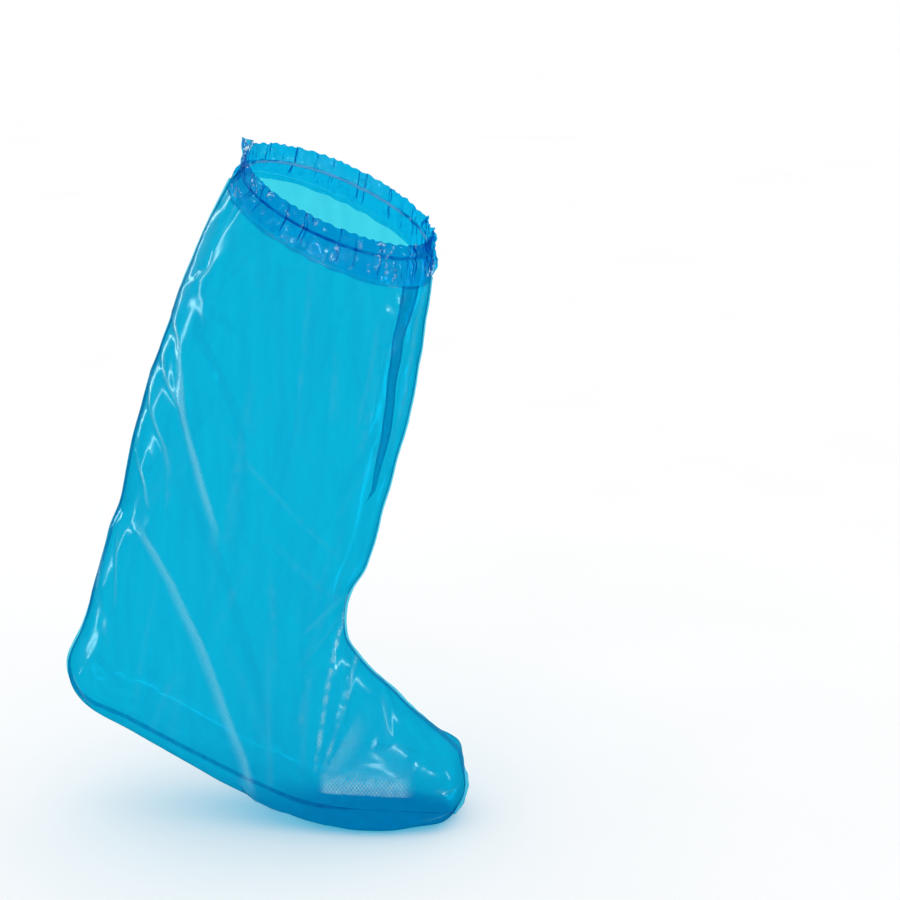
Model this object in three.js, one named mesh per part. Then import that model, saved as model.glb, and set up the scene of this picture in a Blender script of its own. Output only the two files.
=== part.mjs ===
// A disposable boot cover of thin polyethylene film, in the form it takes on a foot in mid step.
// Millimetres, +Z up, +X towards the toe. The origin is the centre of the elasticated leg opening.
// Two film panels are fused along a heat seal that runs down the back, round the heel, along the sole,
// round the toe and up the instep. A turned-in cuff, gathered by an elastic loop, edges the opening.
import * as THREE from "three";

// Driving sizes
const FILM_WALL = 1.2;
const SEAL_THICKNESS = 2.0;
const PIECE_GAP = 0.3;
const FLOOR_LEVEL = -525;

const PANEL_ROWS = 32;
const PANEL_COLUMNS = 26;
const SECTION_STEPS = 28;
const FLANK_SHARE = 0.2;
const SEAL_STEPS = 36;
const TOE_SEAL_STEPS = 5;

const CUFF_GATHERS = 28;
const COLUMNS_PER_GATHER = 4;
const RUFFLE_DEPTH = 3.6;
const RUFFLE_AT_ELASTIC = 0.45;
const RUFFLE_GROWTH = 1.6;
const RUFFLE_ENDS_AT = 1.9;
const RUFFLE_UNEVENNESS = 0.3;
const UNEVEN_WAVES = 7;
const RAGGED_EDGE = 1.8;
const RAGGED_WAVES = 11;
const CASING_ROOM = 4.4;

const ELASTIC_COLUMNS = 56;
const ELASTIC_THICKNESS = 1.5;
const ELASTIC_REACH = 0.1;

const FOLD_END_ROUNDING = 0.6;
const SEAM_FADE = 3;
const END_FADE = 6;

// Finishes
const FILM = { color: 0x06b2dd, roughness: 0.25, opacity: 0.6 };
const FUSED_FILM = { color: 0x06b2dd, roughness: 0.3, opacity: 0.7 };
const GATHERED_FILM = { color: 0x028cd1, roughness: 0.22, opacity: 0.8 };
const ELASTIC = { color: 0x1a6fb4, roughness: 0.7, opacity: 1 };

// Sections from the ruffle's edge to the toe. Each runs from the back seam, or the sole's, to the front
// seam. half is half the width across, widest is where along the section that is, the two round columns
// are superellipse powers (2 is an ellipse, more is squarer), drop lowers the right side and lifts the
// left, bow bends the section towards the toe, and seal is how far the heat seal stands out.
const SECTION_COLUMNS = [
  "backX", "backZ", "frontX", "frontZ", "half", "widest", "backRound", "frontRound", "drop", "bow", "seal",
];
const SECTIONS = {
  ruffle:      [-74,    46,  78,  -22, 74, 0.50, 2.0, 2.0, 13, 0, 1.5],
  elastic:     [-79,    33,  79,  -33, 73, 0.50, 2.0, 2.0, 13, 0, 1.5],
  cuff_edge:   [-87,    23,  77,  -55, 79, 0.50, 2.0, 2.0, 13, 0, 1.5],
  upper_shaft: [-119,  -39,  73,  -83, 85, 0.50, 2.0, 2.0,  8, 0, 1.5],
  calf:        [-140,  -94,  68, -116, 88, 0.50, 2.0, 1.9,  5, 0, 1.5],
  mid_shaft:   [-158, -142,  62, -153, 88, 0.48, 2.0, 1.8,  3, 0, 1.5],
  lower_shaft: [-175, -198,  50, -199, 84, 0.46, 2.0, 1.8,  1, 0, 1.5],
  over_ankle:  [-190, -256,  37, -249, 78, 0.45, 2.0, 1.8,  0, 0, 1.5],
  ankle:       [-208, -310,  23, -298, 72, 0.44, 2.0, 1.8,  0, 0, 1.5],
  notch:       [-223, -360,   4, -334, 68, 0.44, 2.0, 1.8,  0, 0, 2.0],
  heel_back:   [-239, -397,   3, -364, 64, 0.44, 2.0, 1.8,  0, 0, 2.5],
  heel_low:    [-228, -427,  12, -382, 60, 0.44, 2.4, 1.8,  0, 0, 3.0],
  heel_sole:   [-187, -447,  25, -398, 58, 0.42, 3.0, 1.8,  0, 0, 3.0],
  arch:        [-135, -474,  44, -415, 56, 0.40, 3.4, 1.8,  0, 0, 3.0],
  ball_back:   [-79,  -501,  61, -432, 57, 0.38, 3.6, 1.8,  0, 0, 3.0],
  ball:        [-32,  -519,  74, -444, 58, 0.36, 3.8, 1.9,  0, 0, 3.0],
  toe_box:     [28,   -525,  88, -455, 55, 0.36, 3.8, 2.0,  0, 1, 3.0],
  toe_front:   [74,   -525,  97, -464, 43, 0.42, 3.0, 2.4,  0, 3, 3.0],
  toe_round:   [91,   -524, 101, -472, 27, 0.46, 2.6, 2.4,  0, 4, 3.0],
  toe_end:     [98,   -518, 103, -486,  0, 0.50, 2.0, 2.0,  0, 4, 3.0],
};
const CUFF_EDGE = Object.keys(SECTIONS).indexOf("cuff_edge");
const TOE_END = Object.keys(SECTIONS).length - 1;

// Folds of each panel, as straight ridges seen from the side: where they start and end, how far they
// spread to each side, and how high they stand. A valley has a negative height.
const FOLD_COLUMNS = ["startX", "startZ", "endX", "endZ", "spread", "height"];
const RIGHT_FOLDS = {
  rear_ripple:   [-132,  -75,  -88, -280, 14,  7],
  back_ripple:   [-160, -105, -118, -235, 12,  5],
  long_diagonal: [-164, -225,  -62, -518, 16,  9],
  ankle_pleat:   [-36,  -300,  -42, -512, 16, -8],
  glint_ridge:   [6,    -322,   -4, -490, 15,  8],
  shin_fold:     [66,    -50,   24, -262, 12, -5],
  heel_corner:   [-232, -398, -190, -446, 12, -5],
};
const LEFT_FOLDS = {
  rear_ripple:   [-128,  -70,  -96, -270, 14,  6],
  long_diagonal: [-156, -235,  -66, -512, 16,  7],
  ankle_pleat:   [-32,  -310,  -38, -505, 16, -6],
  glint_ridge:   [10,   -335,    0, -486, 15,  6],
  shin_fold:     [64,    -60,   26, -250, 12, -4],
  heel_corner:   [-232, -398, -190, -446, 12, -5],
};

// The cuff's cross-section, a turned-in hem: how far along it runs from the ruffle (0) past the elastic (1)
// to the edge (2), and how deep it lies under the outer face, in walls and casing rooms.
const CUFF_COLUMNS = ["along", "walls", "rooms"];
const CUFF_PROFILE = {
  outer_edge:        [1.98, 0, 0],
  outer_low:         [1.50, 0, 0],
  outer_at_elastic:  [1.00, 0, 0],
  outer_high:        [0.45, 0, 0],
  outer_top:         [0.00, 0, 0],
  inner_top:         [0.00, 2, 1],
  inner_high:        [0.45, 2, 1],
  inner_at_elastic:  [1.00, 2, 1],
  flap_edge:         [1.60, 2, 1],
  flap_edge_outer:   [1.60, 1, 1],
  flap_at_elastic:   [1.00, 1, 1],
  casing_top_inner:  [0.20, 1, 1],
  casing_top_outer:  [0.20, 1, 0],
  casing_at_elastic: [1.00, 1, 0],
  casing_low:        [1.50, 1, 0],
  casing_edge:       [1.98, 1, 0],
};

/** Turns a table's rows into objects with named columns. */
function namedRows(table, columns) {
  return Object.values(table).map((row) => {
    return Object.fromEntries(columns.map((column, index) => [column, row[index]]));
  });
}

const sectionTimes = Object.keys(SECTIONS).map((name, index) => index);
const sectionSpline = new THREE.CubicInterpolant(
  sectionTimes, Object.values(SECTIONS).flat(), SECTION_COLUMNS.length,
);

/** The section at a place along the cover, counted in rows of the table. */
function sectionAt(place) {
  const values = sectionSpline.evaluate(place);
  const section = Object.fromEntries(SECTION_COLUMNS.map((column, index) => [column, values[index]]));
  section.back = new THREE.Vector2(section.backX, section.backZ);
  section.front = new THREE.Vector2(section.frontX, section.frontZ);
  return section;
}

/** A point of the section in the middle plane, at a share of the way from its back to its front. */
function middlePoint(section, share) {
  const chord = section.front.clone().sub(section.back);
  const forward = new THREE.Vector2(chord.y, -chord.x).normalize();
  const bend = 4 * section.bow * share * (1 - share);
  return section.back.clone().addScaledVector(chord, share).addScaledVector(forward, bend);
}

/** One side of a section as an evenly stepped line of points from the back seam to the front seam. */
function halfSection(place, side, seamOffset, columns) {
  const section = sectionAt(place);
  const points = [];
  for (let step = 0; step <= SECTION_STEPS; step += 1) {
    const angle = Math.PI * step / SECTION_STEPS;
    const behind = angle < Math.PI / 2;
    const power = 2 / (behind ? section.backRound : section.frontRound);
    const reach = Math.abs(Math.cos(angle)) ** power;
    const share = behind ? section.widest * (1 - reach) : section.widest + (1 - section.widest) * reach;
    const across = Math.max(Math.sin(angle), 0) ** power;
    const point = middlePoint(section, share);
    const y = side * (seamOffset + section.half * across);
    points.push(new THREE.Vector3(point.x, y, point.y + side * section.drop * across));
  }
  return new THREE.CatmullRomCurve3(points).getSpacedPoints(columns);
}

/** Places from the cuff's edge to the toe that lie an even distance apart along the cover's flank. */
function evenPlaces(count) {
  const flank = sectionTimes.slice(CUFF_EDGE).map((place) => {
    const section = sectionAt(place);
    const point = middlePoint(section, FLANK_SHARE);
    return new THREE.Vector3(point.x, section.half, point.y);
  });
  const curve = new THREE.CatmullRomCurve3(flank, false, "catmullrom");
  return Array.from({ length: count + 1 }, (unused, index) => {
    return CUFF_EDGE + curve.getUtoTmapping(index / count) * (TOE_END - CUFF_EDGE);
  });
}

/** How far the folds lift the film at a point seen from the side. */
function foldRelief(folds, point) {
  const flat = new THREE.Vector3(point.x, 0, point.z);
  const nearest = new THREE.Vector3();
  let relief = 0;
  for (const fold of folds) {
    const start = new THREE.Vector3(fold.startX, 0, fold.startZ);
    const line = new THREE.Line3(start, new THREE.Vector3(fold.endX, 0, fold.endZ));
    const along = line.closestPointToPointParameter(flat, true);
    const distance = line.closestPointToPoint(flat, true, nearest).distanceTo(flat);
    const swell = Math.sin(Math.PI * along) ** FOLD_END_ROUNDING;
    relief += fold.height * swell * Math.exp(-((distance / fold.spread) ** 2));
  }
  return relief;
}

/** Outward unit normals of a grid of points; those on the seams stay in the middle plane. */
function gridNormals(grid, side) {
  const lastRow = grid.length - 1;
  const lastColumn = grid[0].length - 1;
  return grid.map((row, i) => row.map((point, j) => {
    const down = grid[Math.min(i + 1, lastRow)][j].clone().sub(grid[Math.max(i - 1, 0)][j]);
    const around = row[Math.min(j + 1, lastColumn)].clone().sub(row[Math.max(j - 1, 0)]);
    const normal = down.cross(around).multiplyScalar(-side);
    if (j === 0 || j === lastColumn || i === lastRow) {
      normal.y = 0;
    }
    return normal.normalize();
  }));
}

/** A closed wall between an outer and an inner grid of points. Cells are split on the shorter diagonal. */
function wallGeometry(outer, inner, side) {
  const rows = outer.length;
  const columns = outer[0].length;
  const positions = [outer, inner].flatMap((grid) => grid.flat().flatMap((point) => point.toArray()));
  const innerStart = rows * columns;
  const index = [];
  const quad = (a, b, c, d) => index.push(...(side > 0 ? [a, c, b, a, d, c] : [a, b, c, a, c, d]));
  const at = (i, j) => i * columns + j;
  for (let i = 0; i < rows - 1; i += 1) {
    for (let j = 0; j < columns - 1; j += 1) {
      const corners = [at(i, j), at(i + 1, j), at(i + 1, j + 1), at(i, j + 1)];
      if (outer[i + 1][j].distanceTo(outer[i][j + 1]) < outer[i][j].distanceTo(outer[i + 1][j + 1])) {
        corners.push(corners.shift());
      }
      const [a, b, c, d] = corners;
      quad(a, b, c, d);
      quad(innerStart + a, innerStart + d, innerStart + c, innerStart + b);
    }
  }
  const border = [];
  for (let j = 0; j < columns - 1; j += 1) {
    border.push(at(0, j));
  }
  for (let i = 0; i < rows - 1; i += 1) {
    border.push(at(i, columns - 1));
  }
  for (let j = columns - 1; j > 0; j -= 1) {
    border.push(at(rows - 1, j));
  }
  for (let i = rows - 1; i > 0; i -= 1) {
    border.push(at(i, 0));
  }
  border.forEach((here, step) => {
    const next = border[(step + 1) % border.length];
    quad(here, next, innerStart + next, innerStart + here);
  });
  const geometry = new THREE.BufferGeometry();
  geometry.setAttribute("position", new THREE.Float32BufferAttribute(positions, 3));
  geometry.setIndex(index);
  return geometry;
}

/** A film panel: one side of every section, lifted by its folds and flattened on the floor. */
function panelGeometry(side, folds) {
  const seamOffset = SEAL_THICKNESS / 2 + PIECE_GAP;
  const smooth = evenPlaces(PANEL_ROWS).map((place) => halfSection(place, side, seamOffset, PANEL_COLUMNS));
  const smoothNormals = gridNormals(smooth, side);
  const outer = smooth.map((row, i) => row.map((point, j) => {
    const fromSeam = Math.sin(Math.PI * j / PANEL_COLUMNS);
    const fromEnds = Math.sin(Math.PI * i / PANEL_ROWS);
    const fade = Math.min(1, SEAM_FADE * fromSeam) * Math.min(1, END_FADE * fromEnds);
    const lifted = point.clone().addScaledVector(smoothNormals[i][j], fade * foldRelief(folds, point));
    lifted.z = Math.max(lifted.z, FLOOR_LEVEL);
    return lifted;
  }));
  const normals = gridNormals(outer, side);
  const inner = outer.map((row, i) => row.map((point, j) => {
    const lined = point.clone().addScaledVector(normals[i][j], -FILM_WALL);
    lined.z = Math.max(lined.z, FLOOR_LEVEL + FILM_WALL);
    return lined;
  }));
  return wallGeometry(outer, inner, side);
}

/** The heat seal: a flat strip along the whole seam, standing out of it by the seal column. */
function sealGeometry() {
  const places = evenPlaces(SEAL_STEPS);
  const sections = places.map((place) => sectionAt(place));
  const toe = sections[SEAL_STEPS];
  const edge = [
    ...sections.map((section) => ({ point: middlePoint(section, 0), reach: section.seal })),
    ...Array.from({ length: TOE_SEAL_STEPS - 1 }, (unused, step) => {
      return { point: middlePoint(toe, (step + 1) / TOE_SEAL_STEPS), reach: toe.seal };
    }),
    ...sections.map((section) => ({ point: middlePoint(section, 1), reach: section.seal })).reverse(),
  ];
  const outline = (offset) => edge.map(({ point, reach }, step) => {
    const before = edge[Math.max(step - 1, 0)].point;
    const after = edge[Math.min(step + 1, edge.length - 1)].point;
    const along = after.clone().sub(before).normalize();
    const moved = point.clone().add(new THREE.Vector2(along.y, -along.x).multiplyScalar(offset(reach)));
    const floor = offset(reach) > 0 ? FLOOR_LEVEL : FLOOR_LEVEL + FILM_WALL;
    moved.y = Math.max(moved.y, floor);
    return moved;
  });
  const outside = outline((reach) => reach);
  const inside = outline(() => -FILM_WALL).reverse();
  const strip = new THREE.ExtrudeGeometry(new THREE.Shape([...outside, ...inside]), {
    depth: SEAL_THICKNESS, bevelEnabled: false, steps: 1,
  });
  strip.rotateX(Math.PI / 2);
  strip.translate(0, SEAL_THICKNESS / 2, 0);
  return strip;
}

/** A closed loop round the leg opening at a place along the cuff, as points and outward directions. */
function openingLoop(place, columns) {
  const widening = 1 + (SEAL_THICKNESS / 2 + PIECE_GAP) / sectionAt(place).half;
  const right = halfSection(place, -1, 0, columns);
  const left = halfSection(place, 1, 0, columns).reverse();
  const ring = [...right.slice(0, -1), ...left.slice(0, -1)];
  const widened = ring.map((point) => new THREE.Vector3(point.x, point.y * widening, point.z));
  const points = new THREE.CatmullRomCurve3(widened, true).getSpacedPoints(columns).slice(0, columns);
  const acrossTurn = points[columns / 2].clone().sub(points[0]);
  const axis = acrossTurn.cross(points[3 * columns / 4].clone().sub(points[columns / 4])).normalize();
  return points.map((point, step) => {
    const before = points[(step + columns - 1) % columns];
    const after = points[(step + 1) % columns];
    const outward = after.clone().sub(before).cross(axis).normalize();
    return { point, outward, axis };
  });
}

/** How far the ruffle swells the cuff at a place along it and a turn round it. */
function ruffle(along, turn) {
  const fromElastic = Math.abs(along - 1);
  const grown = Math.sin(Math.PI / 2 * Math.min(1, fromElastic * RUFFLE_GROWTH));
  const settled = along > 1 ? Math.cos(Math.PI / 2 * (along - 1)) : 1;
  const depth = RUFFLE_AT_ELASTIC + (RUFFLE_DEPTH - RUFFLE_AT_ELASTIC) * grown * settled;
  const uneven = 1 - RUFFLE_UNEVENNESS * (1 + Math.sin(UNEVEN_WAVES * turn)) / 2;
  const fadeAtEdge = along > RUFFLE_ENDS_AT ? 0 : 1;
  return fadeAtEdge * depth * uneven * Math.sin(CUFF_GATHERS * turn);
}

/** Joins rings of points, each a copy of one closed profile, into a closed tube round the opening. */
function ringGeometry(rings) {
  const columns = rings[0].length;
  const index = [];
  rings.forEach((ring, i) => ring.forEach((point, j) => {
    const nextRing = (i + 1) % rings.length;
    const next = (j + 1) % columns;
    const a = i * columns + j;
    const b = i * columns + next;
    const c = nextRing * columns + next;
    const d = nextRing * columns + j;
    index.push(a, b, c, a, c, d);
  }));
  const geometry = new THREE.BufferGeometry();
  const positions = rings.flat().flatMap((point) => point.toArray());
  geometry.setAttribute("position", new THREE.Float32BufferAttribute(positions, 3));
  geometry.setIndex(index);
  return geometry;
}

/** The gathered cuff: its turned-in profile carried round the opening, with the ruffle on every face. */
function cuffGeometry() {
  const columns = CUFF_GATHERS * COLUMNS_PER_GATHER;
  const rings = namedRows(CUFF_PROFILE, CUFF_COLUMNS).map(({ along, walls, rooms }) => {
    const depth = walls * FILM_WALL + rooms * CASING_ROOM;
    return openingLoop(along, columns).map(({ point, outward, axis }, step) => {
      const turn = 2 * Math.PI * step / columns;
      const ragged = along === 0 ? RAGGED_EDGE * Math.sin(RAGGED_WAVES * turn) : 0;
      const gathered = point.clone().addScaledVector(outward, ruffle(along, turn) - depth);
      return gathered.addScaledVector(axis, ragged);
    });
  });
  return ringGeometry(rings);
}

/** The elastic: a flat loop in the middle of the cuff's casing. */
function elasticGeometry() {
  const faceDepth = FILM_WALL + (CASING_ROOM - ELASTIC_THICKNESS) / 2;
  const corners = [
    { along: 1 + ELASTIC_REACH, depth: faceDepth },
    { along: 1 - ELASTIC_REACH, depth: faceDepth },
    { along: 1 - ELASTIC_REACH, depth: faceDepth + ELASTIC_THICKNESS },
    { along: 1 + ELASTIC_REACH, depth: faceDepth + ELASTIC_THICKNESS },
  ];
  return ringGeometry(corners.map(({ along, depth }) => {
    return openingLoop(along, ELASTIC_COLUMNS).map(({ point, outward }) => {
      return point.clone().addScaledVector(outward, -depth);
    });
  }));
}

/** A named mesh with a finish of its own. */
function piece(name, geometry, finish) {
  const transparent = finish.opacity < 1;
  const material = new THREE.MeshStandardMaterial({ ...finish, metalness: 0, transparent });
  const mesh = new THREE.Mesh(geometry, material);
  mesh.name = name;
  return mesh;
}

const bootCover = new THREE.Group();
bootCover.add(
  piece("right_panel", panelGeometry(-1, namedRows(RIGHT_FOLDS, FOLD_COLUMNS)), FILM),
  piece("left_panel", panelGeometry(1, namedRows(LEFT_FOLDS, FOLD_COLUMNS)), FILM),
  piece("heat_seal", sealGeometry(), FUSED_FILM),
  piece("gathered_cuff", cuffGeometry(), GATHERED_FILM),
  piece("elastic_band", elasticGeometry(), ELASTIC),
);

export default bootCover;
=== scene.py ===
"""A disposable boot cover of thin blue polyethylene film, in the form it has when worn, in mid step."""

import logging
import math
import random
from dataclasses import astuple, dataclass
from enum import Enum
from functools import partial
from typing import Any, Callable, Sequence

import bmesh
import bpy
import numpy as np
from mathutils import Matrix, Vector, geometry, noise


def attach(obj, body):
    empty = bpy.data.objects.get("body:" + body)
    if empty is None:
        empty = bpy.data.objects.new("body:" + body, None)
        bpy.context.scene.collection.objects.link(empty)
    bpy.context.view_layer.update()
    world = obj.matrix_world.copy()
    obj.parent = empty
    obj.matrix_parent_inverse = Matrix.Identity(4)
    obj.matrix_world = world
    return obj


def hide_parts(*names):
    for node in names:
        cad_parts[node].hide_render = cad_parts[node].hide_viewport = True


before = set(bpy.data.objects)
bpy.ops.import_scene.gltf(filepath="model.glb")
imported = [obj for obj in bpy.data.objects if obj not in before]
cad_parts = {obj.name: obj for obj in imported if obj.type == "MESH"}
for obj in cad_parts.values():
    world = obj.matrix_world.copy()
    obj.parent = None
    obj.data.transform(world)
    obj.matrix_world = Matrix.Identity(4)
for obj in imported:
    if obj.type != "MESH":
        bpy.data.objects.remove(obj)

LOG = logging.getLogger("boot_cover")
MM = 0.001
FLOOR_MM = -525.0
# How far forward the shaft leans for each length that it rises.
SHAFT_LEAN = 0.36
# The mesh attribute that holds the painted sheen and glints along creases, partly milky film. Below zero,
# the film is drawn thin.
SHEEN_ATTRIBUTE = "whitening"
# The pitch of the wave texture's bands at a scale of 1, in metres.
WAVE_PITCH = 0.314

Colour = tuple[float, float, float, float]
AddNode = Callable[..., bpy.types.Node]
Socket = bpy.types.NodeSocket


class Side(Enum):
    """Which side of the cover a panel is on, as the sign of its Y."""

    RIGHT = -1
    LEFT = 1


@dataclass(frozen=True)
class Section:
    """A cross-section of the cover from its back or sole seam to its front seam, in millimetres."""

    back_x: float
    back_z: float
    front_x: float
    front_z: float
    half: float
    widest: float
    back_round: float
    front_round: float
    drop: float
    bow: float
    seal: float


SECTIONS: dict[str, Section] = {
    "ruffle": Section(-74, 46, 78, -22, 74, 0.50, 2.0, 2.0, 13, 0, 1.5),
    "elastic": Section(-79, 33, 79, -33, 73, 0.50, 2.0, 2.0, 13, 0, 1.5),
    "cuff_edge": Section(-87, 23, 77, -55, 79, 0.50, 2.0, 2.0, 13, 0, 1.5),
    "upper_shaft": Section(-119, -39, 73, -83, 85, 0.50, 2.0, 2.0, 8, 0, 1.5),
    "calf": Section(-140, -94, 68, -116, 88, 0.50, 2.0, 1.9, 5, 0, 1.5),
    "mid_shaft": Section(-158, -142, 62, -153, 88, 0.48, 2.0, 1.8, 3, 0, 1.5),
    "lower_shaft": Section(-175, -198, 50, -199, 84, 0.46, 2.0, 1.8, 1, 0, 1.5),
    "over_ankle": Section(-190, -256, 37, -249, 78, 0.45, 2.0, 1.8, 0, 0, 1.5),
    "ankle": Section(-208, -310, 23, -298, 72, 0.44, 2.0, 1.8, 0, 0, 1.5),
    "notch": Section(-223, -360, 4, -334, 68, 0.44, 2.0, 1.8, 0, 0, 2.0),
    "heel_back": Section(-239, -397, 3, -364, 64, 0.44, 2.0, 1.8, 0, 0, 2.5),
    "heel_low": Section(-228, -427, 12, -382, 60, 0.44, 2.4, 1.8, 0, 0, 3.0),
    "heel_sole": Section(-187, -447, 25, -398, 58, 0.42, 3.0, 1.8, 0, 0, 3.0),
    "arch": Section(-135, -474, 44, -415, 56, 0.40, 3.4, 1.8, 0, 0, 3.0),
    "ball_back": Section(-79, -501, 61, -432, 57, 0.38, 3.6, 1.8, 0, 0, 3.0),
    "ball": Section(-32, -519, 74, -444, 58, 0.36, 3.8, 1.9, 0, 0, 3.0),
    "toe_box": Section(28, -525, 88, -455, 55, 0.36, 3.8, 2.0, 0, 1, 3.0),
    "toe_front": Section(74, -525, 97, -464, 43, 0.42, 3.0, 2.4, 0, 3, 3.0),
    "toe_round": Section(91, -524, 101, -472, 27, 0.46, 2.6, 2.4, 0, 4, 3.0),
    "toe_end": Section(98, -518, 103, -486, 0, 0.50, 2.0, 2.0, 0, 4, 3.0),
}
CUFF_EDGE = list(SECTIONS).index("cuff_edge")
TOE_END = len(SECTIONS) - 1


@dataclass(frozen=True)
class Fold:
    """A fold of the film along a line seen from the side, in millimetres.

    A valley has a negative height. The ends are the shares of the line over which the fold rises and dies
    away. Its steep flank looks back for -1 and forward for 1. That flank is painted pale with sheen and
    glints as far as pale says, in bits as far as broken says.
    """

    line: tuple[tuple[float, float], ...]
    spread: float
    height: float
    crest: float = 0.4
    ends: tuple[float, float] = (0.3, 0.3)
    steep: float = 0.0
    pale: float = 0.0
    broken: float = 0.0


# In every fold, pale paints a sheen and glints along the steep flank: painted highlights.
RIGHT_FOLDS: dict[str, Fold] = {
    "back_sheen_fold": Fold(((-98, 2), (-122, -50), (-142, -100)), 22, 1.2, ends=(0.1, 0.4), steep=1, pale=0.7),
    "back_line": Fold(
        ((-92, 4), (-112, -44), (-130, -92)), 7, 1.2, ends=(0.05, 0.3), steep=1, pale=1.0, broken=1,
    ),
    "top_streak": Fold(((-84, -20), (-93, -44), (-132, -74)), 6, 2.0, steep=-1, pale=0.8, broken=1),
    "rear_ripple": Fold(
        ((-132, -74), (-118, -103), (-110, -160), (-100, -204), (-88, -252), (-94, -284)),
        11, 3.2, ends=(0.1, 0.3), steep=-1, pale=1.0,
    ),
    "rear_ripple_branch": Fold(
        ((-141, -102), (-134, -126), (-114, -154), (-102, -200)), 7, 2.4, steep=-1, pale=0.8,
    ),
    "back_ripple": Fold(
        ((-152, -124), (-146, -158), (-130, -186), (-126, -220)), 7, 2.6, steep=-1, pale=0.7,
    ),
    "low_back_ripple": Fold(((-162, -196), (-150, -222), (-149, -246)), 6, 2.2, steep=-1, pale=0.8),
    "long_diagonal": Fold(
        ((-165, -248), (-142, -274), (-127, -300), (-108, -348), (-91, -409), (-74, -457), (-65, -498)),
        13, 3.2, 0.5, ends=(0.1, 0.1), steep=-1, pale=0.9,
    ),
    "diagonal_shadow": Fold(((-130, -268), (-104, -330), (-80, -400)), 7, -1.6, 0.6),
    "ankle_valley": Fold(
        ((-52, -325), (-54, -406), (-52, -498)), 9, -2.6, 0.6, ends=(0.4, 0.15), steep=-1, pale=0.3,
    ),
    "second_valley": Fold(((-24, -374), (-28, -479)), 7, -2.0, 0.6, steep=1, pale=0.3),
    "dotted_ridge": Fold(((-19, -379), (-31, -440)), 5, 1.4, steep=-1, pale=0.6, broken=1),
    "glint_ridge": Fold(
        ((8, -321), (-4, -372), (-10, -418), (-16, -470)),
        2.6, 1.4, ends=(0.05, 0.1), steep=-1, pale=2.0, broken=1,
    ),
    "textured_ridge": Fold(
        ((16, -363), (7, -415), (-12, -476)), 2.2, 1.2, ends=(0.15, 0.1), steep=1, pale=1.2, broken=1,
    ),
    "facet": Fold(((23, -414), (6, -446), (-10, -474)), 24, 2.4, ends=(0.5, 0.2), steep=1, pale=0.7),
    "instep_glint": Fold(((68, -430), (85, -440)), 4, 1.4, steep=1, pale=1.6),
    "instep_ripple": Fold(((34, -408), (44, -450)), 6, 1.6, steep=1, pale=0.4),
    "notch_crease": Fold(((10, -320), (-9, -337), (-32, -357)), 5, -2.4, steep=1, pale=0.4),
    "notch_fold": Fold(((4, -336), (-10, -356), (-34, -384)), 5, 2.0, steep=1, pale=0.3),
    "shin_ridge": Fold(((44, -66), (34, -120), (18, -190)), 6, 1.6, 0.5, steep=1, pale=0.3),
    "shin_line": Fold(
        ((80, -30), (68, -90), (57, -150), (40, -220)),
        3, 1.0, ends=(0.1, 0.4), steep=1, pale=0.6, broken=1,
    ),
    "heel_corner": Fold(((-230, -396), (-209, -424)), 6, 3.0, 0.5, steep=-1, pale=0.7),
    "heel_streak": Fold(((-188, -250), (-206, -330)), 6, 1.8, steep=-1, pale=0.9),
    "heel_streak_inner": Fold(((-180, -262), (-184, -335)), 4, 1.8, steep=-1, pale=0.6),
    # The forefoot's bright hatched band is a painted highlight.
    "forefoot_band": Fold(
        ((-14, -484), (28, -485), (70, -488)), 30, 1.0, ends=(0.1, 0.22), steep=1, pale=1.4, broken=0.4,
    ),
    "forefoot_sheen_fold": Fold(
        ((0, -482), (28, -483), (64, -486)), 50, 1.4, ends=(0.3, 0.3), steep=1, pale=0.5, broken=0.3,
    ),
    "sole_fold": Fold(((-84, -472), (-67, -497), (-40, -509)), 6, 3.6, 0.5, steep=-1, pale=0.7),
    "toe_crease_high": Fold(((104, -466), (84, -448)), 4, 1.8, steep=1, pale=0.8),
    "toe_crease_middle": Fold(((105, -491), (82, -484)), 4, -1.8, steep=1, pale=0.4),
    "toe_crease_low": Fold(((103, -508), (70, -512)), 4, 2.0, steep=1, pale=0.4),
    "toe_dimple": Fold(((62, -493), (82, -501)), 5, -2.6, 0.8),
}
# As on the right, pale paints a sheen along each fold's steep flank.
LEFT_FOLDS: dict[str, Fold] = {
    "rear_ripple": Fold(((-118, -60), (-126, -120), (-100, -200), (-94, -270)), 9, 3.2, steep=-1, pale=0.8),
    "back_ripple": Fold(((-160, -110), (-146, -160), (-140, -220)), 8, 2.6, steep=-1, pale=0.6),
    "long_diagonal": Fold(
        ((-160, -228), (-128, -300), (-96, -390), (-66, -500)), 11, 3.6, 0.5, steep=-1, pale=0.7,
    ),
    "ankle_valley": Fold(((-36, -318), (-44, -404), (-46, -496)), 9, -2.6, 0.6, steep=1, pale=0.3),
    "glint_ridge": Fold(((8, -326), (0, -400), (-6, -478)), 5, 2.4, steep=-1, pale=1.0),
    "instep_ripple": Fold(((28, -398), (40, -452)), 6, 2.0, steep=1, pale=0.4),
    "shin_crease": Fold(((74, -40), (60, -90), (34, -236)), 6, -2.0, 0.5, steep=1, pale=0.5),
    "shin_ridge": Fold(((40, -70), (28, -130), (14, -200)), 6, 1.6, 0.5, steep=1, pale=0.3),
    "heel_corner": Fold(((-230, -396), (-206, -428)), 6, 3.0, 0.5, steep=-1, pale=0.5),
    "forefoot_band": Fold(((-20, -486), (66, -490)), 8, 3.0, 0.6, steep=-1, pale=0.8),
    "toe_crease_high": Fold(((103, -470), (80, -456)), 4, 1.8, steep=1, pale=0.6),
    "toe_crease_low": Fold(((103, -504), (72, -508)), 4, -1.8),
}


def run_lengths(points: np.ndarray) -> np.ndarray:
    """How far along a line of points each one lies.

    Args:
        points: the points, a row each.

    Returns:
        The lengths, from 0.
    """
    return np.concatenate([[0], np.cumsum(np.linalg.norm(np.diff(points, axis=0), axis=1))])


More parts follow.
